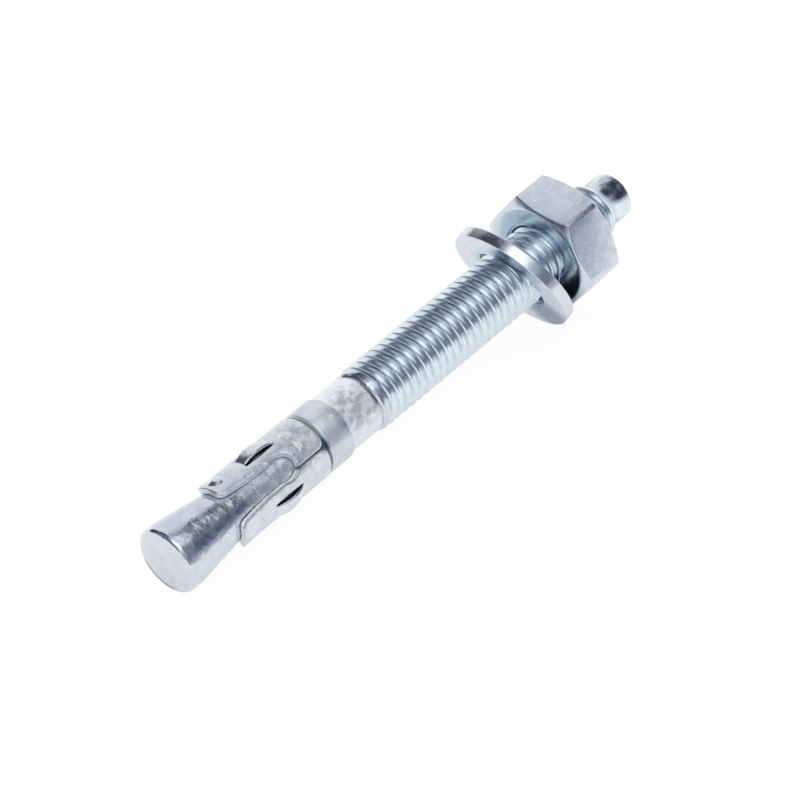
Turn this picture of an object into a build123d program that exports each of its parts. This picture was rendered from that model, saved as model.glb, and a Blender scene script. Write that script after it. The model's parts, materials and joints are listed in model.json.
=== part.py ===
from build123d import *
from math import acos, asin, atan, cos, degrees, hypot, isclose, radians, sin, tan
import os

# Wedge anchor, M10 by 95, lying at rest on its tip and on the rim of its washer.
# Places along the stud are measured from the tip's end face. Places round the stud are angles
# from straight up, towards -Y. Lengths are in millimetres and angles in degrees.

# ---- stud ----
stud_length = 95.5
tip_diameter = 10.1
tip_land = 2.6
tip_edge_radius = 0.7
cone_half_angle = 7.5
neck_diameter = 7.6
collar_start = 28.3
collar_length = 4.4
collar_rise = 0.35
collar_chamfer = 0.25
shank_diameter = 9.05
shank_length = 5.8
thread_runout = 1.6
thread_diameter = 9.9
thread_end_half_angle = 30
dog_diameter = 7.2
dog_length = 3.9
dog_chamfer = 0.5

# ---- expansion clip: its lengths are measured from its front edge ----
clip_length = 17.4
clip_to_collar = 0.6
clip_sheet = 0.95
clip_neck_clearance = 0.2
clip_cone_clearance = 0.08
clip_flare = 3.7
petals = 3
first_slot_angle = 38.8
slot_width = 3.7
slot_mouth = 5.0
slot_funnel = 5.0
slot_funnel_radius = 20.0
slot_bulb_centre = 10.15
slot_bulb_diameter = 4.3
petal_corner_radius = 1.3
seam_from_slot = 16.0
seam_width = 0.4
seam_corner_radius = 1.1
bridge_centre = 9.15
bridge_length = 5.4
bridge_width = 2.3
bridge_sheet = 0.8
bridge_rise = 0.65
bridge_slit = 0.25
nub_centre = 1.9
nub_diameter = 2.4
nub_height = 0.25
punch_mark_centre = 15.3
punch_mark_angle = 71.0
punch_mark_diameter = 2.7
punch_mark_depth = 0.15
cut_margin = 0.5

# ---- washer ----
washer_diameter = 19.6
washer_thickness = 1.9
washer_hole_clearance = 0.65
washer_hole_chamfer = 0.35
washer_rim_chamfer = 0.25
washer_thread_clearance = 0.03
washer_to_nut = 0.8

# ---- hex nut ----
nut_height = 8.0
nut_across_flats = 16.8
nut_sides = 6
nut_face_share = 0.95
nut_face_slope = 30
nut_thread_clearance = 0.05
nut_mouth_chamfer = 0.4
nut_corner_angle = 33.0
thread_beyond_nut = 3.5

# ---- worked-out sizes ----
cone_end = tip_land + (tip_diameter - neck_diameter) / 2 / tan(radians(cone_half_angle))
collar_diameter = shank_diameter + 2 * collar_rise
collar_end = collar_start + collar_length
runout_start = collar_end + shank_length
thread_start = runout_start + thread_runout
dog_start = stud_length - dog_length
thread_end = dog_start - (thread_diameter - dog_diameter) / 2 / tan(radians(thread_end_half_angle))

clip_rear = collar_start - clip_to_collar
clip_front = clip_rear - clip_length
clip_inner = neck_diameter / 2 + clip_neck_clearance
clip_outer = clip_inner + clip_sheet
cone_at_clip = neck_diameter / 2 + max(0, cone_end - clip_front) * tan(radians(cone_half_angle))
clip_front_inner = cone_at_clip + clip_cone_clearance
clip_reach = clip_front_inner + clip_sheet + cut_margin
petal_step = 360 / petals
window_start = bridge_centre - bridge_length / 2
window_end = bridge_centre + bridge_length / 2
bridge_angle = 2 * degrees(asin(bridge_width / 2 / clip_outer))
nub_radius = (nub_diameter**2 / 4 + nub_height**2) / (2 * nub_height)
nub_base = degrees(asin(1 - (nub_height + clip_sheet / 2) / nub_radius))
punch_radius = (punch_mark_diameter**2 / 4 + punch_mark_depth**2) / (2 * punch_mark_depth)

nut_back = thread_end - thread_beyond_nut
nut_front = nut_back - nut_height
nut_bore = thread_diameter + 2 * nut_thread_clearance
nut_face_radius = nut_face_share * nut_across_flats / 2
nut_reach = nut_across_flats / 2 / cos(radians(180 / nut_sides)) + cut_margin
nut_slope_depth = (nut_reach - nut_face_radius) * tan(radians(nut_face_slope))

# The washer leans until its hole's edges, less their chamfers, meet the thread top and bottom.
washer_hole = thread_diameter + 2 * washer_hole_clearance
hole_grip = washer_thickness - 2 * washer_hole_chamfer
washer_reach = thread_diameter + 2 * washer_thread_clearance
washer_lean = acos(washer_reach / hypot(washer_hole, hole_grip)) - atan(hole_grip / washer_hole)
washer_far_face = nut_front - washer_to_nut - nut_face_radius * tan(washer_lean)
washer_centre = washer_far_face - washer_thickness / 2 / cos(washer_lean)

# Two places touch the floor: the tip's round edge and the lower rim of the washer.
rim_along = washer_centre + washer_diameter / 2 * sin(washer_lean) - washer_thickness / 2 * cos(washer_lean)
rim_below = washer_diameter / 2 * cos(washer_lean) + washer_thickness / 2 * sin(washer_lean)
edge_below = tip_diameter / 2 - tip_edge_radius
support_length = hypot(rim_along - tip_edge_radius, rim_below - edge_below)
support_slope = atan((rim_below - edge_below) / (rim_along - tip_edge_radius))
incline = support_slope - asin(tip_edge_radius / support_length)

# The origin is on the floor, midway between the ends of the lying anchor.
back_x = tip_edge_radius * (cos(incline) - 1) - edge_below * sin(incline)
front_x = stud_length * cos(incline) + (dog_diameter / 2 - dog_chamfer) * sin(incline)
tip_height = rim_below * cos(incline) - rim_along * sin(incline)
tip_centre = Vector(-(back_x + front_x) / 2, 0, tip_height)
along = Vector(cos(incline), 0, sin(incline))
upward = Vector(-sin(incline), 0, cos(incline))
stud_axis = Axis(tip_centre, along)


def outward(angle):
    """Direction away from the stud's axis at this angle."""
    return upward * cos(radians(angle)) + Vector(0, -1, 0) * sin(radians(angle))


def profile_plane(angle=0):
    """Plane that holds the stud's axis: its X runs along the stud and its Y outwards."""
    return Plane(origin=tip_centre, x_dir=along, z_dir=along.cross(outward(angle)))


def clip_plane(angle):
    """Plane on the axis at the clip's front edge that looks outwards, with its X along the stud."""
    return Plane(origin=tip_centre + along * clip_front, x_dir=along, z_dir=outward(angle))


def section_plane(place, angle=0):
    """Plane square to the stud at this place, with its X outwards at this angle."""
    return Plane(origin=tip_centre + along * place, x_dir=outward(angle), z_dir=along)


# ---- stud: one turned and rolled piece ----
with BuildPart() as stud:
    with BuildSketch(profile_plane()):
        with BuildLine():
            Polyline(
                (0, 0),
                (0, tip_diameter / 2),
                (tip_land, tip_diameter / 2),
                (cone_end, neck_diameter / 2),
                (collar_start, neck_diameter / 2),
                (collar_start, collar_diameter / 2),
                (collar_end, collar_diameter / 2),
                (collar_end, shank_diameter / 2),
                (runout_start, shank_diameter / 2),
                (thread_start, thread_diameter / 2),
                (thread_end, thread_diameter / 2),
                (dog_start, dog_diameter / 2),
                (stud_length, dog_diameter / 2),
                (stud_length, 0),
                close=True,
            )
        make_face()
    revolve(axis=stud_axis)
    circles = stud.edges().filter_by(GeomType.CIRCLE)
    chamfer(circles.filter_by(lambda edge: isclose(edge.radius, collar_diameter / 2)), collar_chamfer)
    chamfer(stud.edges().filter_by(GeomType.CIRCLE).group_by(stud_axis)[-1], dog_chamfer)
    fillet(stud.edges().filter_by(GeomType.CIRCLE).group_by(stud_axis)[0], tip_edge_radius)
stud.part.label = "stud"


# ---- expansion clip: one rolled sheet with three petals ----
def keyhole():
    """Slot between two petals: rounded corners, a funnel, a straight part and a round bulb."""
    corner_end = slot_mouth / 2 + 2 * petal_corner_radius
    with BuildSketch() as slot:
        with BuildLine():
            Polyline(
                (slot_bulb_centre, 0),
                (slot_bulb_centre, slot_width / 2),
                (slot_funnel, slot_width / 2),
                (0, slot_mouth / 2),
                (0, corner_end),
                (-cut_margin, corner_end),
                (-cut_margin, 0),
            )
            mirror(about=Plane.XZ)
        make_face()
        fillet(slot.vertices().filter_by_position(Axis.X, slot_funnel, slot_funnel), slot_funnel_radius)
        corners = slot.vertices().filter_by_position(Axis.X, 0, 0)
        fillet(corners.sort_by(Axis.Y)[1:3], petal_corner_radius)
        with Locations((slot_bulb_centre, 0)):
            Circle(slot_bulb_diameter / 2)
    return slot.sketch


def seam_gap():
    """Gap where the ends of the rolled sheet meet: from a bulb to the rear, with rounded corners."""
    corner_end = seam_width / 2 + 2 * seam_corner_radius
    past_clip = clip_length + cut_margin
    with BuildSketch() as gap:
        with BuildLine():
            Polyline(
                (slot_bulb_centre, 0),
                (slot_bulb_centre, seam_width / 2),
                (clip_length, seam_width / 2),
                (clip_length, corner_end),
                (past_clip, corner_end),
                (past_clip, 0),
            )
            mirror(about=Plane.XZ)
        make_face()
        corners = gap.vertices().filter_by_position(Axis.X, clip_length, clip_length)
        fillet(corners.sort_by(Axis.Y)[1:3], seam_corner_radius)
    return gap.sketch


def bridge_profile():
    """Strip seen from its side, as it arches over its window."""
    strip_inner = clip_outer - bridge_sheet
    with BuildSketch() as strip:
        with BuildLine():
            crown = ThreePointArc(
                (clip_front + window_start, clip_outer),
                (clip_front + bridge_centre, clip_outer + bridge_rise),
                (clip_front + window_end, clip_outer),
            )
            hollow = ThreePointArc(
                (clip_front + window_start, strip_inner),
                (clip_front + bridge_centre, strip_inner + bridge_rise),
                (clip_front + window_end, strip_inner),
            )
            Line(crown @ 0, hollow @ 0)
            Line(crown @ 1, hollow @ 1)
        make_face()
    return strip.sketch


with BuildPart() as expansion_clip:
    with BuildSketch(profile_plane()):
        with BuildLine():
            Polyline(
                (clip_front, clip_front_inner),
                (clip_front, clip_front_inner + clip_sheet),
                (clip_front + clip_flare, clip_outer),
                (clip_rear, clip_outer),
                (clip_rear, clip_inner),
                (clip_front + clip_flare, clip_inner),
                close=True,
            )
        make_face()
    revolve(axis=stud_axis)

    for slot_number in range(petals):
        with BuildSketch(clip_plane(first_slot_angle + slot_number * petal_step)):
            add(keyhole())
        extrude(amount=clip_reach, mode=Mode.SUBTRACT)
    with BuildSketch(clip_plane(first_slot_angle + seam_from_slot)):
        add(seam_gap())
    extrude(amount=clip_reach, mode=Mode.SUBTRACT)

    for petal_number in range(petals):
        petal_angle = first_slot_angle + (petal_number + 0.5) * petal_step
        petal_plane = clip_plane(petal_angle)
        with BuildSketch(petal_plane):
            with Locations((bridge_centre, 0)):
                Rectangle(bridge_length, bridge_width + 2 * bridge_slit)
        extrude(amount=clip_reach, mode=Mode.SUBTRACT)
        with BuildSketch(profile_plane(petal_angle - bridge_angle / 2)):
            add(bridge_profile())
        revolve(axis=stud_axis, revolution_arc=bridge_angle)
        with BuildPart(petal_plane):
            with Locations((nub_centre, 0, clip_outer + nub_height)):
                Sphere(nub_radius, arc_size1=nub_base, align=(Align.CENTER, Align.CENTER, Align.MAX))
        with BuildPart(petal_plane, mode=Mode.SUBTRACT):
            with Locations((nub_centre, 0, clip_inner + nub_height)):
                Sphere(nub_radius, arc_size1=nub_base, align=(Align.CENTER, Align.CENTER, Align.MAX))

    punch_from_axis = clip_outer - punch_mark_depth + punch_radius
    with Locations(clip_plane(punch_mark_angle).from_local_coords((punch_mark_centre, 0, punch_from_axis))):
        Sphere(punch_radius, mode=Mode.SUBTRACT)
expansion_clip.part.label = "expansion_clip"

# ---- washer: leaning on the thread ----
washer_plane = Plane(
    origin=tip_centre + along * washer_centre,
    x_dir=upward * cos(washer_lean) - along * sin(washer_lean),
    z_dir=along * cos(washer_lean) + upward * sin(washer_lean),
)
with BuildPart() as washer:
    with BuildSketch(washer_plane):
        Circle(washer_diameter / 2)
        Circle(washer_hole / 2, mode=Mode.SUBTRACT)
    extrude(amount=washer_thickness / 2, both=True)
    chamfer(washer.edges().filter_by(GeomType.CIRCLE).group_by(SortBy.RADIUS)[0], washer_hole_chamfer)
    rims = washer.edges().filter_by(GeomType.CIRCLE).group_by(SortBy.RADIUS)[-1]
    chamfer(rims.sort_by(Axis(washer_plane.origin, washer_plane.z_dir))[-1], washer_rim_chamfer)
washer.part.label = "washer"

# ---- hex nut ----
with BuildPart() as hex_nut:
    with BuildSketch(section_plane(nut_front, nut_corner_angle)):
        RegularPolygon(nut_across_flats / 2, nut_sides, major_radius=False)
        Circle(nut_bore / 2, mode=Mode.SUBTRACT)
    extrude(amount=nut_height)
    chamfer(hex_nut.edges().filter_by(GeomType.CIRCLE), nut_mouth_chamfer)
    with BuildSketch(profile_plane()):
        with BuildLine():
            Polyline(
                (nut_front, 0),
                (nut_front, nut_face_radius),
                (nut_front + nut_slope_depth, nut_reach),
                (nut_back - nut_slope_depth, nut_reach),
                (nut_back, nut_face_radius),
                (nut_back, 0),
                close=True,
            )
        make_face()
    revolve(axis=stud_axis, mode=Mode.INTERSECT)
hex_nut.part.label = "hex_nut"

os.makedirs("parts", exist_ok=True)
export_step(stud.part, "parts/stud.step")
export_step(expansion_clip.part, "parts/expansion_clip.step")
export_step(washer.part, "parts/washer.step")
export_step(hex_nut.part, "parts/hex_nut.step")
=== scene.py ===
import bpy
import json
from math import asin, cos, degrees, hypot, pi, radians, sin, tan
from mathutils import Euler, Matrix, Vector


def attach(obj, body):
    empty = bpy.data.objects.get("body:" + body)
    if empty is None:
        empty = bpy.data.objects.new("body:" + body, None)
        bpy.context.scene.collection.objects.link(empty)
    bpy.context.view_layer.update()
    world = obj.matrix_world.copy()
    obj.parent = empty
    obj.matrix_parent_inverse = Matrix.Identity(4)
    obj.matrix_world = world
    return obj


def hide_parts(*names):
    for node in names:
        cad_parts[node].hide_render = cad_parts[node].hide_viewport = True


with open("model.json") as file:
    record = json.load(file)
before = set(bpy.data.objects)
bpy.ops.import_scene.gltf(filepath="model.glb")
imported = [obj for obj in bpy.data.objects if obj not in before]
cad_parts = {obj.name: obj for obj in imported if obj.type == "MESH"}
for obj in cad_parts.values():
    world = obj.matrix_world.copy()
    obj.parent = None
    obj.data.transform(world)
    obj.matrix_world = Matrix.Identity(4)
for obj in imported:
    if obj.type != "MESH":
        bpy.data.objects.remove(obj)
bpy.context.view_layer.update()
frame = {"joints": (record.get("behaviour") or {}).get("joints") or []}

MM = 0.001
# Points of a mesh that lie nearer than this are made one.
MERGE_GAP = 1e-6
FINE_MERGE_GAP = 1e-7
# A rounded corner turns by about this much from point to point.
CORNER_STEP = radians(14)

# ---- Where the anchor lies ----
# Every piece is modelled upright on the bench, with its tip at the origin and the stud's axis
# along Z, and is then laid down. Bench X becomes the anchor's upper side.
joints = {joint["name"]: joint for joint in frame["joints"]}
NUT_MIDDLE = 81.7617 * MM
along = -Vector(joints["nut_turn"]["axis"]).normalized()
tip = Vector(joints["nut_turn"]["pos_m"]) - along * NUT_MIDDLE
side = Vector((0, -1, 0))
upward = side.cross(along)
INCLINE = asin(along.z)
laid_down = Matrix.Translation(tip) @ Matrix((upward, side, along)).transposed().to_4x4()

# ---- Stud ----
STUD_LENGTH = 95.5 * MM
TIP_RADIUS = 5.05 * MM
TIP_LAND = 2.6 * MM
TIP_EDGE = 0.7 * MM
NECK_RADIUS = 3.8 * MM
NECK_START = 12.095 * MM
COLLAR_START = 28.3 * MM
COLLAR_END = 32.7 * MM
COLLAR_RADIUS = 4.875 * MM
COLLAR_FRONT_EDGE = 0.3 * MM
COLLAR_BACK_EDGE = 0.25 * MM
COLLAR_FOOT = 0.04 * MM
COLLAR_FOOT_START = COLLAR_END + 0.1 * MM
COLLAR_FOOT_END = COLLAR_END + 0.3 * MM
SHANK_RADIUS = 4.525 * MM
RUNOUT_START = 38.5 * MM
THREAD_START = 40.1 * MM
THREAD_END = 89.26 * MM
THREAD_RADIUS = 4.95 * MM
DOG_START = 91.6 * MM
DOG_RADIUS = 3.6 * MM
DOG_EDGE = 0.5 * MM
PITCH = 1.5 * MM
THREAD_DEPTH = 0.87 * MM
CREST_FLAT = 0.125 * PITCH
ROOT_FLAT = 0.25 * PITCH
THREAD_CORNER = 0.09 * PITCH
CORE_CLEARANCE = 0.1 * MM
ROUND_STEPS = 96

# ---- Expansion clip ----
# Places along it are from its front edge, and widths are round its outside. SLOT_FROM_SEAM,
# MARK_FROM_SEAM and BULB_STEP are in degrees, and the SHEAR values are shares of the sheet.
CLIP_FRONT = 10.3 * MM
CLIP_LENGTH = 17.4 * MM
CLIP_SHEET = 0.95 * MM
CLIP_INNER = 4.0 * MM
CLIP_OUTER = CLIP_INNER + CLIP_SHEET
CLIP_ROUND = 2 * pi * CLIP_OUTER
CLIP_FLARE = 3.7 * MM
CLIP_FLARE_RISE = 0.116 * MM
CLIP_FLARE_CURVE = 1.5
CLIP_EDGE = 0.15 * MM
CLIP_GRID = 0.125 * MM
PETALS = 3
SLOT_FROM_SEAM = -15.0
SEAM_TURN = radians(53.8)
SEAM_WIDTH = 0.36 * MM
SEAM_CORNER = 1.1 * MM
SLOT_WIDTH = 3.75 * MM
SLOT_MOUTH = 5.05 * MM
SLOT_FUNNEL = 5.0 * MM
FUNNEL_RADIUS = 20.0 * MM
PETAL_CORNER = 1.3 * MM
BULB_CENTRE = 10.15 * MM
BULB_RADIUS = 2.15 * MM
BULB_STEP = 10
BRIDGE_CENTRE = 9.15 * MM
BRIDGE_LENGTH = 5.4 * MM
BRIDGE_WIDTH = 2.2 * MM
BRIDGE_SLIT = 0.4 * MM
BRIDGE_RISE = 0.6 * MM
# Reach of the painted shade round each bridge slit: along it, across it and up through the sheet.
BRIDGE_SHADE_LENGTH = 0.525 * BRIDGE_LENGTH
BRIDGE_SHADE_WIDTH = BRIDGE_WIDTH / 2 + 1.4 * BRIDGE_SLIT
BRIDGE_SHADE_HEIGHT = 0.7 * CLIP_SHEET
NUB_CENTRE = 1.9 * MM
NUB_RADIUS = 1.2 * MM
NUB_HEIGHT = 0.32 * MM
NUB_TAPER = 1.5
MARK_CENTRE = 15.3 * MM
MARK_FROM_SEAM = 17.2
MARK_RADIUS = 1.35 * MM
MARK_DEPTH = 0.1 * MM
MARK_RIM = 0.22
SHEAR_END = 0.8
SHEAR_FADE = 0.25
UNSHEARED_START = BULB_CENTRE + 0.8 * BULB_RADIUS
UNSHEARED_WIDTH = 0.6 * MM

# ---- Washer ----
WASHER_RADIUS = 9.8 * MM
WASHER_HOLE = 5.6 * MM
WASHER_HOLE_EDGE = 0.35 * MM
WASHER_ROUND_EDGE = 0.28 * MM
WASHER_SHARP_EDGE = 0.06 * MM
WASHER_THICKNESS = 1.9 * MM
WASHER_MIDDLE = 72.7589 * MM
WASHER_LEAN = radians(21.7282)
WASHER_STEPS = 128

# ---- Nut ----
NUT_FRONT = 77.7617 * MM
NUT_HEIGHT = 8.0 * MM
NUT_FLATS = 16.8 * MM
NUT_CORNER = radians(33.0)
NUT_FACE_RADIUS = 7.98 * MM
NUT_SLOPE = radians(30)
NUT_BORE_GAP = 0.06 * MM
NUT_MOUTH = 0.45 * MM
NUT_EDGE = 0.22 * MM
NUT_TURNED_MARGIN = 0.3 * MM
NUT_STEPS = 120

# ---- Marks and painted shade or reflection spots on the surface, on the laid-down anchor ----
TOP_RIGHT = (upward * 0.82 + side * 0.57).normalized()
# Centre of the painted dark reflection on the dog point.
DOG_REFLECTION_SPOT = tip + along * 94.0 * MM + (upward * 0.92 + side * 0.40).normalized() * DOG_RADIUS
SHANK_SCUFF = tip + along * 35.8 * MM + TOP_RIGHT * SHANK_RADIUS
NECK_SCUFF = tip + along * 18.5 * MM + TOP_RIGHT * NECK_RADIUS
RING_SCUFF = tip + along * 25.4 * MM + (upward * 0.98 + side * 0.20) * CLIP_OUTER
# Centre of the painted shade on the neck, seen through the clip's seam.
SEAM_SHADE_SPOT = tip + along * 27.5 * MM + (upward * 0.59 + side * 0.81) * 4.1 * MM
# Centres of the painted shade low on the washer's and the nut's front faces.
WASHER_SHADE_SPOT = tip + along * 73.4 * MM - upward * 5.4 * MM + side * 5.6 * MM
NUT_SHADE_SPOT = tip + along * 77.8 * MM - upward * 4.6 * MM + side * 4.6 * MM
# Centre of the painted contact shade on the tip's lower rim.
TIP_SHADE_SPOT = tip + along * 0.3 * MM - (upward * 0.914 + side * 0.407) * TIP_RADIUS
TIP_RIM = TIP_RADIUS - 0.85 * MM
RING_START = CLIP_FRONT + 13.0 * MM
WASHER_FILM_RADIUS = 6.6 * MM
NUT_FILM_RADIUS = 7.6 * MM

# ---- Zinc: sizes and depths of its marks ----
CLOUD_SIZE = 1.7 * MM
SPECKLE_SIZE = 0.30 * MM
GRAIN_SIZE = 0.22 * MM
GRAIN_DEPTH = 0.0022 * MM
DENT_SIZE = 1.1 * MM
DENT_DEPTH = 0.02 * MM
STUD_DENT_SIZE = 1.9 * MM
STUD_DENT_DEPTH = 0.12 * MM
CLIP_DENT_DEPTH = 0.08 * MM
SCRATCH_WIDTH = 0.11 * MM
SCRATCH_STRETCH = 14
SCRATCH_DEPTH = 0.0012 * MM
NUT_SCRATCH_DEPTH = 0.0035 * MM
SCUFF_SIZE = 1.15 * MM
SCUFF_DEPTH = 0.05 * MM
SCUFF_SOFTNESS = 2.0 * MM
# Blotch size of the painted dark reflection on the dog point.
DOG_REFLECTION_BLOTCH_SIZE = 0.9 * MM

# ---- Zinc: how rough it is, how much like bare metal, and how much of its dents is left ----
BRIGHTEST = 0.15
DULLEST = 0.25
CLIP_BRIGHTEST = 0.24
CLIP_DULLEST = 0.32
SPECKLE_DULLNESS = 0.04
WORN_DULLNESS = 0.12
BURNISHED_SHINE = 0.14
SHANK_METAL = 0.42
NECK_METAL = 0.64
CLIP_METAL = 0.92
RING_METAL = 0.54
SHEARED_METAL = 0.35
THREAD_DENTS = 0.08

# ---- Zinc: colours ----
STUD_PALE = (0.72, 0.76, 0.82)
STUD_DEEP = (0.66, 0.71, 0.78)
THREAD_PALE = (0.79, 0.87, 0.92)
THREAD_DEEP = (0.73, 0.82, 0.88)
SHANK_DULL = (0.86, 0.90, 0.97)
CLIP_PALE = (0.78, 0.81, 0.85)
CLIP_DEEP = (0.68, 0.73, 0.80)
OILED_PALE = (0.73, 0.78, 0.84)
OILED_DEEP = (0.69, 0.74, 0.82)
OIL_FILM = (0.58, 0.71, 0.79)
# Painted shade: dark slate for the floor's shadow reflected low in the washer and nut faces.
PAINTED_FLOOR_SHADE = (0.24, 0.31, 0.42)
# Painted shade: dark blue for the neck in shadow behind the clip's seam notch.
PAINTED_SEAM_SHADE = (0.12, 0.20, 0.30)
SCUFFED = (0.36, 0.39, 0.47)
# Painted reflection: dark blue-grey standing in for the room's dark band reflected on the dog point.
PAINTED_DOG_REFLECTION = (0.31, 0.34, 0.43)
# Painted shade: near-black for the floor's contact shadow reflected in the tip's lower rim.
PAINTED_CONTACT_SHADE = (0.22, 0.24, 0.28)
SHEARED = (0.93, 0.95, 0.98)
# Painted shade: near black for the shadow inside the bridge slits.
PAINTED_SLIT_SHADE = (0.07, 0.07, 0.10)

# ---- Camera ----
CAMERA_LENS = 166.7
CAMERA_SENSOR = 36
CAMERA_CLIP_START = 0.01
CAMERA_PLACE = (-0.29636, -0.25588, 0.34545)
CAMERA_ELEVATION = radians(41.24)
CAMERA_HEADING = radians(40.81)

# ---- Floor and even light ----
FLOOR_SIZE = 4.0
PAPER = (0.95, 0.95, 0.95)
PAPER_ROUGHNESS = 0.9
GLOW_TO_CAMERA = 0.95
GLOW_IN_METAL = 0.6
WHITE = (1, 1, 1)
LIGHT_BELOW = (0.25, 0.25, 0.25)
LIGHT_ABOVE = (1.3, 1.3, 1.3)
LIGHT_RISE = (-0.1, 1.0)

# ---- The room that the metal reflects ----
WALL = (0.80, 0.86, 0.95)
CEILING = (0.50, 0.54, 0.62)
WALL_TOP = (0.10, 0.45)
# Each light or dark card has its azimuth, elevation, spread and softness in degrees, and its colour.
CARDS = [
    (135, 35, 40, 16, (0.155, 0.200, 0.280)),
    (170, 8, 21, 7, (0.055, 0.065, 0.095)),
    (90, 13, 21, 6, (0.020, 0.025, 0.040)),
    (92, 40, 17, 8, (0.030, 0.035, 0.060)),
    (105, 60, 12, 6, (0.035, 0.040, 0.065)),
    (-56, 27, 23, 7, (0.200, 0.240, 0.320)),
    (-37, 23, 15, 6, (0.050, 0.065, 0.095)),
    (-80, 20, 11, 8, (0.170, 0.190, 0.240)),
    (-60, 0, 10, 6, (0.430, 0.470, 0.560)),
    (-30, 60, 11, 3, (0.930, 0.950, 0.980)),
    (0, 66, 12, 3, (0.930, 0.950, 0.980)),
    (30, 61, 8, 4, (0.360, 0.400, 0.480)),
    (42, 25, 31, 6, (0.830, 0.840, 0.875)),
    (6, 45, 16, 3, (0.075, 0.090, 0.125)),
    (-20, 41, 15, 3, (0.075, 0.090, 0.125)),
    (-125, 12, 24, 10, (0.140, 0.155, 0.200)),
    (6, 26, 12, 6, (0.070, 0.085, 0.130)),
    (-150, 48, 24, 10, (0.80, 0.84, 0.90)),
    (-124, 72, 20, 7, (1.45, 1.45, 1.40)),
]


# ======== Bench work ========
def deselect_all():
    if bpy.context.object and bpy.context.object.mode != "OBJECT":
        bpy.ops.object.mode_set(mode="OBJECT")
    bpy.ops.object.select_all(action="DESELECT")


def take(piece):
    deselect_all()
    piece.select_set(True)
    bpy.context.view_layer.objects.active = piece


def apply_modifiers(piece):
    take(piece)
    for modifier in list(piece.modifiers):
        bpy.ops.object.modifier_apply(modifier=modifier.name)


def drawn_line(name, points, closed=False):
    """A chain of edges through points (radius, place) in the bench's XZ plane."""
    deselect_all()
    bpy.ops.mesh.primitive_plane_add(size=MM)
    line = bpy.context.object
    line.name = name
    bpy.ops.object.mode_set(mode="EDIT")
    bpy.ops.mesh.select_all(action="SELECT")
    bpy.ops.mesh.merge(type="CENTER")
    radius, place = points[0]
    bpy.ops.transform.translate(value=(radius, 0, place))
    for (r0, z0), (r1, z1) in zip(points, points[1:]):
        bpy.ops.mesh.extrude_vertices_move(
            TRANSFORM_OT_translate={"value": (r1 - r0, 0, z1 - z0)})
    if closed:
        bpy.ops.mesh.select_all(action="SELECT")
        bpy.ops.mesh.edge_face_add()
        bpy.ops.mesh.delete(type="ONLY_FACE")
    bpy.ops.object.mode_set(mode="OBJECT")
    return line


def turned(name, outline, closed=False, steps=ROUND_STEPS):
    """A piece turned round the bench's Z axis from its outline."""
    piece = drawn_line(name, outline, closed)
    screw = piece.modifiers.new("turn", "SCREW")
    screw.steps = steps
    screw.render_steps = steps
    screw.axis = "Z"
    screw.use_merge_vertices = True
    screw.merge_threshold = MERGE_GAP
    apply_modifiers(piece)
    tidy_mesh(piece)
    return piece


def tidy_mesh(piece, gap=MERGE_GAP):
    """Joins points that lie together and turns all faces outwards."""
    take(piece)
    bpy.ops.object.mode_set(mode="EDIT")
    bpy.ops.mesh.select_all(action="SELECT")
    bpy.ops.mesh.remove_doubles(threshold=gap)
    bpy.ops.mesh.normals_make_consistent(inside=False)
    bpy.ops.object.mode_set(mode="OBJECT")


def joined(name, pieces):
    deselect_all()
    for piece in pieces:
        piece.select_set(True)
    bpy.context.view_layer.objects.active = pieces[0]
    bpy.ops.object.join()
    pieces[0].name = name
    return pieces[0]


def bevel_edges(piece, width, angle):
    """Rounds every edge that is sharper than this angle in degrees."""
    bevel = piece.modifiers.new("edges", "BEVEL")
    bevel.width = width
    bevel.segments = 3
    bevel.limit_method = "ANGLE"
    bevel.angle_limit = radians(angle)


def arc(centre, radius, start, end, steps):
    """Points on a round corner of an outline, from one angle to another in degrees."""
    turns = [radians(start + (end - start) * step / steps) for step in range(steps + 1)]
    return [(centre[0] + radius * cos(turn), centre[1] + radius * sin(turn)) for turn in turns]


def rounded(corners):
    """Closed outline through corners (x, y, radius), each rounded in short steps."""
    points = []
    for index, (x, y, radius) in enumerate(corners):
        corner = Vector((x, y))
        if not radius:
            points.append((x, y))
            continue
        back = (Vector(corners[index - 1][:2]) - corner).normalized()
        ahead = (Vector(corners[(index + 1) % len(corners)][:2]) - corner).normalized()
        half_turn = back.angle(ahead) / 2
        centre = corner + (back + ahead).normalized() * radius / sin(half_turn)
        start = corner + back * radius / tan(half_turn) - centre
        turn = start.angle_signed(corner + ahead * radius / tan(half_turn) - centre)
        steps = max(2, round(abs(turn) / CORNER_STEP))
        for step in range(steps + 1):
            spoke = start.copy()
            spoke.rotate(Matrix.Rotation(-turn * step / steps, 2))
            points.append(tuple(centre + spoke))
    return points


def finish_piece(piece, body, node, material, place, smooth_angle):
    """Lays a bench piece in its place, shades it and hands it to its body."""
    piece.data.transform(place)
    take(piece)
    bpy.ops.object.shade_smooth_by_angle(angle=radians(smooth_angle))
    piece.data.materials.clear()
    piece.data.materials.append(material)
    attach(piece, body)
    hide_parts(node)


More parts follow.
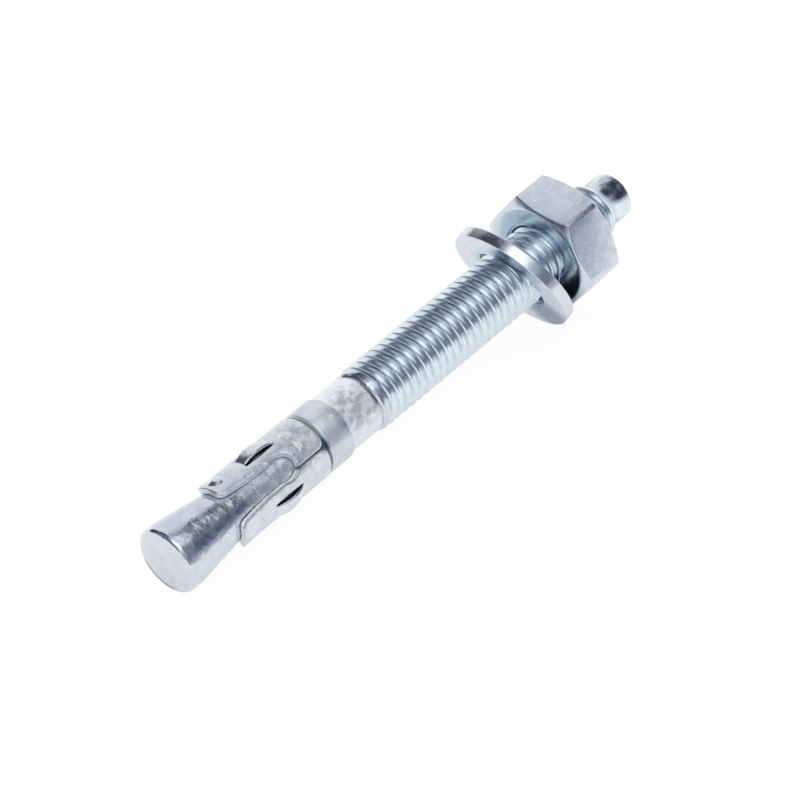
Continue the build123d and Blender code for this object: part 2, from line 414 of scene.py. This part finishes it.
# ======== Stud ========
def thread_points(first_place):
    """One pitch of the rolled thread, from the middle of one root to the middle of the next."""
    root = THREAD_RADIUS - THREAD_DEPTH
    flank = (PITCH - CREST_FLAT - ROOT_FLAT) / 2
    corner = THREAD_CORNER
    rise = THREAD_DEPTH / flank
    # Each corner is passed by two points, so roots and crests come out rounded.
    half = [
        (0, root),
        (ROOT_FLAT / 2 - corner / 2, root + corner * rise * 0.1),
        (ROOT_FLAT / 2 + corner / 2, root + corner * rise * 0.6),
    ]
    for share in (0.35, 0.6, 0.82):
        half.append((ROOT_FLAT / 2 + flank * share, root + THREAD_DEPTH * share))
    half += [
        (ROOT_FLAT / 2 + flank, THREAD_RADIUS - corner * rise * 0.22),
        (PITCH / 2 - CREST_FLAT / 4, THREAD_RADIUS - corner * 0.06),
        (PITCH / 2, THREAD_RADIUS),
    ]
    mirrored = [(PITCH - offset, radius) for offset, radius in reversed(half[:-1])]
    return [(radius, first_place + offset) for offset, radius in half + mirrored]


def threaded_rod(name, start, end, core, outside):
    """Helical thread whose crests and roots stay between a core and an outside outline."""
    rod = drawn_line(name, thread_points(start - PITCH))
    array = rod.modifiers.new("pitches", "ARRAY")
    array.use_relative_offset = False
    array.use_constant_offset = True
    array.constant_offset_displace = (0, 0, PITCH)
    # The helix starts a pitch early and ends late. What is past an end is brought back to it below.
    array.count = int((end - start) / PITCH) + 3
    array.use_merge_vertices = True
    array.merge_threshold = MERGE_GAP
    screw = rod.modifiers.new("helix", "SCREW")
    screw.steps = ROUND_STEPS
    screw.render_steps = ROUND_STEPS
    screw.axis = "Z"
    screw.screw_offset = PITCH
    apply_modifiers(rod)
    for vertex in rod.data.vertices:
        x, y, place = vertex.co
        place = min(max(place, start), end)
        radius = min(max(hypot(x, y), core(place)), outside(place))
        scale = radius / hypot(x, y)
        vertex.co = (x * scale, y * scale, place)
    tidy_mesh(rod)
    return rod


def between(place, place0, value0, place1, value1):
    """Value that goes evenly from one place to the other and stays level outside them."""
    share = min(max((place - place0) / (place1 - place0), 0), 1)
    return value0 + (value1 - value0) * share


def stud_core(place):
    """Least radius of the threaded length, so that the roots fade out on the shank."""
    core_radius = THREAD_RADIUS - THREAD_DEPTH - CORE_CLEARANCE
    return between(place, RUNOUT_START, SHANK_RADIUS, THREAD_START + PITCH, core_radius)


def stud_outside(place):
    """Greatest radius of the threaded length, with a cone at either end."""
    if place < (RUNOUT_START + THREAD_END) / 2:
        return between(place, RUNOUT_START, SHANK_RADIUS, THREAD_START, THREAD_RADIUS)
    return between(place, THREAD_END, THREAD_RADIUS, DOG_START, DOG_RADIUS)


def make_stud():
    """The threaded rod with its turned front and back."""
    rod = threaded_rod("thread", RUNOUT_START, DOG_START, stud_core, stud_outside)
    front_edge = COLLAR_FRONT_EDGE
    back_edge = COLLAR_BACK_EDGE
    front = turned("front_of_stud", [
        (0, 0),
        *arc((TIP_RADIUS - TIP_EDGE, TIP_EDGE), TIP_EDGE, -90, 0, 8),
        (TIP_RADIUS, TIP_LAND),
        (NECK_RADIUS, NECK_START),
        *arc((NECK_RADIUS + front_edge, COLLAR_START - front_edge), front_edge, 180, 90, 4),
        *arc((COLLAR_RADIUS - front_edge, COLLAR_START + front_edge), front_edge, -90, 0, 5),
        *arc((COLLAR_RADIUS - back_edge, COLLAR_END - back_edge), back_edge, 0, 70, 4),
        (SHANK_RADIUS + COLLAR_FOOT, COLLAR_FOOT_START),
        (SHANK_RADIUS, COLLAR_FOOT_END),
        (SHANK_RADIUS, RUNOUT_START),
    ])
    back = turned("back_of_stud", [
        (DOG_RADIUS, DOG_START),
        *arc((DOG_RADIUS - DOG_EDGE, STUD_LENGTH - DOG_EDGE), DOG_EDGE, 0, 90, 6),
        (0, STUD_LENGTH),
    ])
    whole = joined("threaded_stud", [rod, front, back])
    tidy_mesh(whole)
    return whole


# ======== Expansion clip ========
def round_clip(degrees_from_seam):
    """Distance round the clip's outside at this angle from the seam."""
    return radians(degrees_from_seam) * CLIP_OUTER


def slot_bulb(centre, start, end):
    """Sharp corners along the round end of a slot, from one angle to another in degrees."""
    steps = max(2, round(abs(end - start) / BULB_STEP))
    turns = [radians(start + (end - start) * step / steps) for step in range(steps + 1)]
    return [
        (centre + BULB_RADIUS * sin(turn), BULB_CENTRE + BULB_RADIUS * cos(turn), 0)
        for turn in turns]


def blank_outline():
    """Outline of the flat blank: x round the clip from the seam, y from the front edge."""
    half = SLOT_WIDTH / 2
    neck = 180 - degrees(asin(half / BULB_RADIUS))
    slots = [round_clip(SLOT_FROM_SEAM + 360 * number / PETALS) for number in range(PETALS + 1)]
    near_edge = SEAM_WIDTH / 2
    far_edge = CLIP_ROUND - SEAM_WIDTH / 2
    near_bulb = degrees(asin((near_edge - slots[0]) / BULB_RADIUS))
    far_bulb = degrees(asin((far_edge - slots[-1]) / BULB_RADIUS))
    corners = [(near_edge, CLIP_LENGTH, SEAM_CORNER)]
    for number, centre in enumerate(slots):
        first = number == 0
        last = number == PETALS
        if not first:
            corners += [
                (centre - SLOT_MOUTH / 2, 0, PETAL_CORNER),
                (centre - half, SLOT_FUNNEL, FUNNEL_RADIUS)]
        corners += slot_bulb(centre, near_bulb if first else -neck, far_bulb if last else neck)
        if not last:
            corners += [
                (centre + half, SLOT_FUNNEL, FUNNEL_RADIUS),
                (centre + SLOT_MOUTH / 2, 0, PETAL_CORNER)]
    corners.append((far_edge, CLIP_LENGTH, SEAM_CORNER))
    return rounded(corners)


def petal_middles():
    turns = [SLOT_FROM_SEAM + 360 * (number + 0.5) / PETALS for number in range(PETALS)]
    return [round_clip(turn) for turn in turns]


def bridge_slits():
    """Outlines of the two slits beside each bridge."""
    start = BRIDGE_CENTRE - BRIDGE_LENGTH / 2
    end = BRIDGE_CENTRE + BRIDGE_LENGTH / 2
    corner = 0.4 * BRIDGE_SLIT
    slits = []
    for middle in petal_middles():
        for near in (middle - BRIDGE_WIDTH / 2 - BRIDGE_SLIT, middle + BRIDGE_WIDTH / 2):
            far = near + BRIDGE_SLIT
            slits.append(rounded([
                (near, start, corner), (far, start, corner), (far, end, corner), (near, end, corner)]))
    return slits


def pressed_height(x, y):
    """How far the sheet is pressed outwards at a place on the blank."""
    height = 0
    for middle in petal_middles():
        along_bridge = abs(y - BRIDGE_CENTRE) / (BRIDGE_LENGTH / 2)
        if abs(x - middle) < (BRIDGE_WIDTH + BRIDGE_SLIT) / 2 and along_bridge < 1:
            height += BRIDGE_RISE * (1 - along_bridge**2)
        from_nub = hypot(x - middle, y - NUB_CENTRE) / NUB_RADIUS
        if from_nub < 1:
            height += NUB_HEIGHT * min(1, NUB_TAPER * (1 - from_nub))
    from_mark = hypot(x - round_clip(MARK_FROM_SEAM), y - MARK_CENTRE) / MARK_RADIUS
    if from_mark < 1:
        height -= MARK_DEPTH * min((1 - from_mark) / MARK_RIM, 1)
    return height


def cut_marks(x, y, lift):
    """How much a place on the blank is painted as shade inside the bridge slits, burnished by a punch
    or cleanly sheared.
    """
    for middle in petal_middles():
        across = abs(x - middle)
        # Painted shade: below this height, round a bridge, the slit walls and underside are marked
        # dark.
        if across < BRIDGE_SHADE_WIDTH and abs(y - BRIDGE_CENTRE) < BRIDGE_SHADE_LENGTH:
            if lift < BRIDGE_SHADE_HEIGHT:
                return 1.0, 0.0, 0.0
            return 0.0, float(across < BRIDGE_WIDTH / 2), 0.0
        if hypot(across, y - NUB_CENTRE) < NUB_RADIUS:
            return 0.0, 1.0, 0.0
    if min(x, CLIP_ROUND - x) < UNSHEARED_WIDTH and y > UNSHEARED_START:
        return 0.0, 0.0, 0.0
    # A sheared wall is marked from the inner face up, and the mark ends before the outer face.
    return 0.0, 0.0, min(max((SHEAR_END - lift / CLIP_SHEET) / SHEAR_FADE, 0), 1)


def make_clip():
    """A punched blank with pressed bridges and nubs, rolled round the stud's neck."""
    loops = [drawn_line("blank", blank_outline(), closed=True)]
    loops += [drawn_line("slit", outline, closed=True) for outline in bridge_slits()]
    clip = joined("clip_rolled", loops)
    bpy.ops.object.mode_set(mode="EDIT")
    bpy.ops.mesh.select_all(action="SELECT")
    bpy.ops.mesh.remove_doubles(threshold=FINE_MERGE_GAP)
    bpy.ops.mesh.fill(use_beauty=False)
    bpy.ops.mesh.select_all(action="SELECT")
    bpy.ops.mesh.dissolve_limited(angle_limit=radians(1))
    bpy.ops.mesh.select_all(action="SELECT")
    bpy.ops.mesh.extrude_region_move(TRANSFORM_OT_translate={"value": (0, CLIP_SHEET, 0)})
    bpy.ops.mesh.select_all(action="SELECT")
    bpy.ops.mesh.normals_make_consistent(inside=False)
    bpy.ops.object.mode_set(mode="OBJECT")
    bevel_edges(clip, CLIP_EDGE, 50)
    remesh = clip.modifiers.new("even_grid", "REMESH")
    remesh.mode = "VOXEL"
    remesh.voxel_size = CLIP_GRID
    smooth = clip.modifiers.new("worn_edges", "SMOOTH")
    smooth.factor = 0.5
    smooth.iterations = 4
    apply_modifiers(clip)

    mark_names = ("slit_shade", "burnished", "sheared")
    marks = [clip.data.attributes.new(name, "FLOAT", "POINT") for name in mark_names]
    for vertex in clip.data.vertices:
        x, lift, y = vertex.co
        for mark, amount in zip(marks, cut_marks(x, y, lift)):
            mark.data[vertex.index].value = amount
        turn = SEAM_TURN + x / CLIP_OUTER
        flare = CLIP_FLARE_RISE * max(0, 1 - y / CLIP_FLARE)**CLIP_FLARE_CURVE
        radius = CLIP_INNER + lift + flare + pressed_height(x, y)
        vertex.co = (radius * cos(turn), radius * sin(turn), CLIP_FRONT + y)
    tidy_mesh(clip, FINE_MERGE_GAP)
    return clip


# ======== Washer ========
def make_washer():
    """A punched washer, round on its rear rim and sharper on its front one, and its place."""
    half = WASHER_THICKNESS / 2
    mouth = WASHER_HOLE + WASHER_HOLE_EDGE
    rim = WASHER_ROUND_EDGE
    washer = turned("plain_washer", [
        (mouth, -half),
        (WASHER_RADIUS - WASHER_SHARP_EDGE, -half),
        (WASHER_RADIUS, -half + WASHER_SHARP_EDGE),
        *arc((WASHER_RADIUS - rim, half - rim), rim, 0, 90, 5),
        (mouth, half),
        (WASHER_HOLE, half - WASHER_HOLE_EDGE),
        (WASHER_HOLE, -half + WASHER_HOLE_EDGE),
    ], closed=True, steps=WASHER_STEPS)
    lean = Matrix.Rotation(WASHER_LEAN, 4, "Y")
    return washer, Matrix.Translation((0, 0, WASHER_MIDDLE)) @ lean


# ======== Hex nut ========
def make_nut():
    """A turned blank with chamfered faces, milled to six flats."""
    reach = NUT_FLATS / 2 / cos(pi / 6) + NUT_TURNED_MARGIN
    slope = (reach - NUT_FACE_RADIUS) * tan(NUT_SLOPE)
    back = NUT_FRONT + NUT_HEIGHT
    bore = THREAD_RADIUS + NUT_BORE_GAP
    mouth = bore + NUT_MOUTH
    nut = turned("hex_nut_body", [
        (mouth, NUT_FRONT),
        (NUT_FACE_RADIUS, NUT_FRONT),
        (reach, NUT_FRONT + slope),
        (reach, back - slope),
        (NUT_FACE_RADIUS, back),
        (mouth, back),
        (bore, back - NUT_MOUTH),
        (bore, NUT_FRONT + NUT_MOUTH),
    ], closed=True, steps=NUT_STEPS)
    take(nut)
    bpy.ops.object.mode_set(mode="EDIT")
    for flat in range(6):
        turn = NUT_CORNER + pi / 6 + flat * pi / 3
        outwards = (cos(turn), sin(turn), 0)
        bpy.ops.mesh.select_all(action="SELECT")
        bpy.ops.mesh.bisect(
            plane_co=[NUT_FLATS / 2 * part for part in outwards], plane_no=outwards,
            use_fill=True, clear_outer=True, threshold=FINE_MERGE_GAP)
    bpy.ops.object.mode_set(mode="OBJECT")
    bevel_edges(nut, NUT_EDGE, 20)
    apply_modifiers(nut)
    return nut


# ======== Finishes ========
def mixed_colour(nodes, links, share, first, second):
    """Blends two colours by a share; each is a colour or another node's output."""
    node = nodes.new("ShaderNodeMix")
    node.data_type = "RGBA"
    links.new(share, node.inputs["Factor"])
    for socket, value in ((node.inputs["A"], first), (node.inputs["B"], second)):
        if isinstance(value, tuple):
            socket.default_value = (*value, 1)
        else:
            links.new(value, socket)
    return node.outputs["Result"]


class Finish:
    """A metal finish built from nodes on Object coordinates."""

    def __init__(self, name):
        self.material = bpy.data.materials.new(name)
        self.material.use_nodes = True
        self.nodes = self.material.node_tree.nodes
        self.links = self.material.node_tree.links
        self.shader = self.nodes["Principled BSDF"]
        self.shader.inputs["Metallic"].default_value = 1.0
        self.place = self.nodes.new("ShaderNodeTexCoord").outputs["Object"]

    def noise(self, size, detail, stretch=(1, 1, 1)):
        """Noise with features of about this size; a larger stretch makes it run along that axis."""
        mapping = self.nodes.new("ShaderNodeMapping")
        mapping.vector_type = "TEXTURE"
        mapping.inputs["Scale"].default_value = stretch
        mapping.inputs["Rotation"].default_value = (0, -INCLINE, 0)
        self.links.new(self.place, mapping.inputs["Vector"])
        texture = self.nodes.new("ShaderNodeTexNoise")
        texture.inputs["Scale"].default_value = 1 / size
        texture.inputs["Detail"].default_value = detail
        self.links.new(mapping.outputs["Vector"], texture.inputs["Vector"])
        return texture.outputs["Fac"]

    def ranged(self, value, low, high, to_low=0.0, to_high=1.0):
        """Goes from to_low at low to to_high at high, and stays level outside them."""
        node = self.nodes.new("ShaderNodeMapRange")
        names = ("From Min", "From Max", "To Min", "To Max")
        for name, number in zip(names, (low, high, to_low, to_high)):
            node.inputs[name].default_value = number
        self.links.new(value, node.inputs["Value"])
        return node.outputs["Result"]

    def scaled(self, share, none, full):
        """Goes from one number where the share is nothing to another where it is one."""
        return self.ranged(share, 0, 1, none, full)

    def combined(self, first, second, operation):
        node = self.nodes.new("ShaderNodeMath")
        node.operation = operation
        for socket, value in zip(node.inputs, (first, second)):
            if isinstance(value, float):
                socket.default_value = value
            else:
                self.links.new(value, socket)
        return node.outputs["Value"]

    def added(self, first, second):
        return self.combined(first, second, "ADD")

    def times(self, first, second):
        return self.combined(first, second, "MULTIPLY")

    def mixed(self, share, first, second):
        return mixed_colour(self.nodes, self.links, share, first, second)

    def tinted(self, share, tint):
        """Turns the finish to this colour by the share."""
        self.colour = self.mixed(share, self.colour, tint)

    def station(self):
        """Distance from the stud's tip along its axis, in metres."""
        node = self.nodes.new("ShaderNodeVectorMath")
        node.operation = "DOT_PRODUCT"
        node.inputs[1].default_value = along
        self.links.new(self.place, node.inputs[0])
        return self.added(node.outputs["Value"], -tip.dot(along))

    def stretch_of(self, start, end, blend=0.3 * MM):
        """One between two stations, and nothing outside them."""
        station = self.station()
        return self.times(
            self.ranged(station, start - blend, start + blend),
            self.ranged(station, end - blend, end + blend, 1, 0))

    def core(self, radius, blend):
        """One within this distance of the stud's axis, and nothing outside it."""
        station = self.station()
        foot = self.nodes.new("ShaderNodeVectorMath")
        foot.operation = "SCALE"
        foot.inputs[0].default_value = along
        self.links.new(station, foot.inputs["Scale"])
        foot_on_axis = self.nodes.new("ShaderNodeVectorMath")
        foot_on_axis.inputs[0].default_value = tip
        self.links.new(foot.outputs["Vector"], foot_on_axis.inputs[1])
        away = self.nodes.new("ShaderNodeVectorMath")
        away.operation = "DISTANCE"
        self.links.new(self.place, away.inputs[0])
        self.links.new(foot_on_axis.outputs["Vector"], away.inputs[1])
        return self.ranged(away.outputs["Value"], radius - blend, radius + blend, 1, 0)

    def spot(self, centre, radius, softness):
        """One near a point, and nothing away from it."""
        node = self.nodes.new("ShaderNodeVectorMath")
        node.operation = "DISTANCE"
        node.inputs[1].default_value = centre
        self.links.new(self.place, node.inputs[0])
        return self.ranged(node.outputs["Value"], radius, radius + softness, 1, 0)

    def marked(self, name):
        """A mark that the piece carries at each point."""
        node = self.nodes.new("ShaderNodeAttribute")
        node.attribute_name = name
        return node.outputs["Fac"]

    def bumped(self, height, depth):
        """Adds this relief to what the surface already has."""
        normal = self.shader.inputs["Normal"]
        node = self.nodes.new("ShaderNodeBump")
        node.inputs["Distance"].default_value = depth
        self.links.new(height, node.inputs["Height"])
        if normal.links:
            self.links.new(normal.links[0].from_socket, node.inputs["Normal"])
        self.links.new(node.outputs["Normal"], normal)

    def scuffed(self, centre, radius, strength):
        """Soft dark rubs and dents round one place."""
        marks = self.ranged(self.noise(SCUFF_SIZE, detail=2), 0.40, 0.60)
        here = self.times(marks, self.spot(centre, radius, SCUFF_SOFTNESS))
        self.bumped(here, SCUFF_DEPTH)
        self.tinted(self.scaled(here, none=0, full=strength), SCUFFED)

    def set(self, name, value):
        self.links.new(value, self.shader.inputs[name])


def zinc(name, pale, deep, dent_depth=DENT_DEPTH, dent_size=DENT_SIZE,
         brightest=BRIGHTEST, dullest=DULLEST, scratch_depth=SCRATCH_DEPTH):
    """Bright bluish zinc plate: clouded, with soft dents, a fine grain and hair scratches."""
    finish = Finish(name)
    finish.clouds = finish.ranged(finish.noise(CLOUD_SIZE, detail=4), 0.36, 0.64)
    speckle = finish.ranged(finish.noise(SPECKLE_SIZE, detail=2), 0.45, 0.7)
    finish.colour = finish.mixed(finish.clouds, deep, pale)
    finish.rough = finish.added(
        finish.scaled(finish.clouds, none=dullest, full=brightest),
        finish.scaled(speckle, none=0.0, full=SPECKLE_DULLNESS))
    finish.dents = finish.scaled(finish.noise(dent_size, detail=2), none=-0.5, full=0.5)
    finish.dent_depth = dent_depth
    finish.bumped(finish.noise(GRAIN_SIZE, detail=3), GRAIN_DEPTH)
    scratches = finish.noise(SCRATCH_WIDTH, detail=1, stretch=(SCRATCH_STRETCH, 1, 1))
    finish.bumped(finish.ranged(scratches, 0.6, 0.75), scratch_depth)
    return finish


def finished(finish):
    """Joins the finish's dents, colour and roughness to its shader."""
    finish.bumped(finish.dents, finish.dent_depth)
    finish.set("Base Color", finish.colour)
    finish.set("Roughness", finish.rough)
    return finish.material


def zinc_for_stud():
    """Mottled on the forged front, scuffed on the shank, bluer and cleaner on the rolled thread."""
    finish = zinc(
        "zinc_on_stud", STUD_PALE, STUD_DEEP, dent_depth=STUD_DENT_DEPTH, dent_size=STUD_DENT_SIZE)

    thread = finish.stretch_of(THREAD_START, STUD_LENGTH)
    finish.tinted(thread, finish.mixed(finish.clouds, THREAD_DEEP, THREAD_PALE))
    finish.dents = finish.times(finish.dents, finish.scaled(thread, none=1, full=THREAD_DENTS))

    shank = finish.stretch_of(COLLAR_END, RUNOUT_START)
    finish.tinted(shank, SHANK_DULL)
    finish.scuffed(SHANK_SCUFF, radius=2.6 * MM, strength=0.65)
    neck = finish.stretch_of(NECK_START + 2 * MM, COLLAR_END, blend=1.5 * MM)
    finish.scuffed(NECK_SCUFF, radius=3.4 * MM, strength=0.5)
    worn = finish.added(finish.stretch_of(COLLAR_START, RUNOUT_START), neck)
    finish.rough = finish.added(finish.rough, finish.scaled(worn, none=0, full=WORN_DULLNESS))
    finish.set("Metallic", finish.times(
        finish.scaled(shank, none=1.0, full=SHANK_METAL),
        finish.scaled(neck, none=1.0, full=NECK_METAL)))

    # Painted reflection: a dark blotch on the dog point stands in for the dark band of the room
    # reflected there.
    dog_reflection = finish.times(
        finish.spot(DOG_REFLECTION_SPOT, radius=1.9 * MM, softness=0.9 * MM),
        finish.ranged(finish.noise(DOG_REFLECTION_BLOTCH_SIZE, detail=3), 0.34, 0.58))
    finish.tinted(dog_reflection, PAINTED_DOG_REFLECTION)
    # Painted shade: the neck seen through the clip's seam notch is darkened where its shadow falls.
    finish.tinted(finish.spot(SEAM_SHADE_SPOT, radius=0.9 * MM, softness=0.6 * MM), PAINTED_SEAM_SHADE)
    # Painted shade: the tip's lower rim is darkened to stand in for the floor's contact shadow
    # reflected there.
    contact_shade = finish.times(
        finish.spot(TIP_SHADE_SPOT, radius=2.4 * MM, softness=1.4 * MM),
        finish.stretch_of(-MM, 0.4 * MM, blend=0.12 * MM))
    rim = finish.scaled(finish.core(TIP_RIM, blend=0.12 * MM), none=1, full=0)
    finish.tinted(finish.times(contact_shade, rim), PAINTED_CONTACT_SHADE)
    return finished(finish)


def zinc_for_clip():
    """Tumbled sheet: pale and soft outside, painted shade within its slits, marked on the ring behind.
    """
    finish = zinc(
        "zinc_on_clip", CLIP_PALE, CLIP_DEEP, dent_depth=CLIP_DENT_DEPTH,
        brightest=CLIP_BRIGHTEST, dullest=CLIP_DULLEST)
    finish.scuffed(RING_SCUFF, radius=1.8 * MM, strength=0.7)
    ring = finish.stretch_of(RING_START, CLIP_FRONT + CLIP_LENGTH + MM, blend=0.8 * MM)
    sheared = finish.marked("sheared")
    finish.set("Metallic", finish.times(
        finish.scaled(ring, none=CLIP_METAL, full=RING_METAL),
        finish.scaled(sheared, none=1.0, full=SHEARED_METAL)))
    finish.tinted(sheared, SHEARED)
    # Painted shade: the walls and underside round each bridge slit are darkened to near black.
    finish.tinted(finish.marked("slit_shade"), PAINTED_SLIT_SHADE)
    burnished = finish.scaled(finish.marked("burnished"), none=0, full=-BURNISHED_SHINE)
    finish.rough = finish.added(finish.rough, burnished)
    return finished(finish)


def oiled_and_shaded(name, film_reach, scratch_depth, shade_spot):
    """Clean lavender zinc with a film of oil round the bore, and painted shade low on the face for the
    floor's shadow reflected there.
    """
    finish = zinc(name, OILED_PALE, OILED_DEEP, scratch_depth=scratch_depth)
    finish.tinted(finish.core(film_reach, blend=0.8 * MM), OIL_FILM)
    # Painted shade: a dark patch low on the face stands in for the floor's shadow reflected there.
    finish.tinted(finish.spot(shade_spot, radius=2.2 * MM, softness=3.0 * MM), PAINTED_FLOOR_SHADE)
    return finished(finish)


# ======== Camera, floor and light ========
def make_camera():
    camera_data = bpy.data.cameras.new("camera")
    camera = bpy.data.objects.new("camera", camera_data)
    bpy.context.scene.collection.objects.link(camera)
    camera_data.lens = CAMERA_LENS
    camera_data.sensor_width = CAMERA_SENSOR
    camera_data.clip_start = CAMERA_CLIP_START
    camera.location = CAMERA_PLACE
    camera.rotation_euler = Euler((pi / 2 - CAMERA_ELEVATION, 0, CAMERA_HEADING - pi / 2))
    bpy.context.scene.camera = camera


def make_floor():
    """White paper that keeps a pale shadow: seen directly or in the metal, it partly glows."""
    deselect_all()
    bpy.ops.mesh.primitive_plane_add(size=FLOOR_SIZE)
    floor = bpy.context.object
    floor.name = "floor"
    paper = bpy.data.materials.new("white_paper")
    paper.use_nodes = True
    nodes = paper.node_tree.nodes
    links = paper.node_tree.links
    lit = nodes["Principled BSDF"]
    lit.inputs["Base Color"].default_value = (*PAPER, 1)
    lit.inputs["Roughness"].default_value = PAPER_ROUGHNESS
    lit.inputs["Specular IOR Level"].default_value = 0.0
    glow = nodes.new("ShaderNodeEmission")
    light_path = nodes.new("ShaderNodeLightPath")
    in_metal = nodes.new("ShaderNodeMath")
    in_metal.operation = "MULTIPLY"
    in_metal.inputs[1].default_value = GLOW_IN_METAL
    links.new(light_path.outputs["Is Glossy Ray"], in_metal.inputs[0])
    share = nodes.new("ShaderNodeMath")
    share.operation = "MULTIPLY_ADD"
    share.inputs[1].default_value = GLOW_TO_CAMERA
    links.new(light_path.outputs["Is Camera Ray"], share.inputs[0])
    links.new(in_metal.outputs["Value"], share.inputs[2])
    blend = nodes.new("ShaderNodeMixShader")
    links.new(share.outputs["Value"], blend.inputs["Fac"])
    links.new(lit.outputs["BSDF"], blend.inputs[1])
    links.new(glow.outputs["Emission"], blend.inputs[2])
    links.new(blend.outputs["Shader"], nodes["Material Output"].inputs["Surface"])
    floor.data.materials.append(paper)


def make_world():
    """White to the camera, even light on the object, and a room for the metal to reflect."""
    world = bpy.data.worlds.new("studio")
    world.use_nodes = True
    bpy.context.scene.world = world
    nodes = world.node_tree.nodes
    links = world.node_tree.links
    background = nodes["Background"]
    direction = nodes.new("ShaderNodeTexCoord").outputs["Generated"]

    def toward(azimuth, elevation):
        """How nearly a direction points this way: the cosine of the angle between them."""
        node = nodes.new("ShaderNodeVectorMath")
        node.operation = "DOT_PRODUCT"
        turn = radians(azimuth)
        rise = radians(elevation)
        node.inputs[1].default_value = (cos(rise) * cos(turn), cos(rise) * sin(turn), sin(rise))
        links.new(direction, node.inputs[0])
        return node.outputs["Value"]

    def step(value, low, high):
        """Rises softly from nothing at low to one at high."""
        node = nodes.new("ShaderNodeMapRange")
        node.interpolation_type = "SMOOTHSTEP"
        node.inputs["From Min"].default_value = low
        node.inputs["From Max"].default_value = high
        links.new(value, node.inputs["Value"])
        return node.outputs["Result"]

    def mixed(share, first, second):
        return mixed_colour(nodes, links, share, first, second)

    room = mixed(step(toward(0, 90), *WALL_TOP), WALL, CEILING)
    for azimuth, elevation, spread, softness, colour in CARDS:
        outside = cos(radians(spread + softness))
        inside = cos(radians(max(spread - softness, 0)))
        room = mixed(step(toward(azimuth, elevation), outside, inside), room, colour)
    light_path = nodes.new("ShaderNodeLightPath")
    sky = mixed(step(toward(0, 90), *LIGHT_RISE), LIGHT_BELOW, LIGHT_ABOVE)
    sky = mixed(light_path.outputs["Is Camera Ray"], sky, WHITE)
    seen = mixed(light_path.outputs["Is Glossy Ray"], sky, room)
    links.new(seen, background.inputs["Color"])
    background.inputs["Strength"].default_value = 1.0


# ======== The anchor, laid on the floor ========
make_camera()

stud = make_stud()
finish_piece(
    stud, "anchor_stud", "stud", zinc_for_stud(), laid_down, smooth_angle=35)

washer, washer_place = make_washer()
washer_zinc = oiled_and_shaded("zinc_on_washer", WASHER_FILM_RADIUS, SCRATCH_DEPTH, WASHER_SHADE_SPOT)
finish_piece(
    washer, "loose_washer", "washer", washer_zinc, laid_down @ washer_place,
    smooth_angle=35)

nut = make_nut()
nut_zinc = oiled_and_shaded("zinc_on_nut", NUT_FILM_RADIUS, NUT_SCRATCH_DEPTH, NUT_SHADE_SPOT)
finish_piece(nut, "nut", "hex_nut", nut_zinc, laid_down, smooth_angle=15)

clip = make_clip()
finish_piece(
    clip, "clip", "expansion_clip", zinc_for_clip(), laid_down, smooth_angle=40)

make_floor()
make_world()

bpy.context.scene.view_settings.view_transform = "Standard"
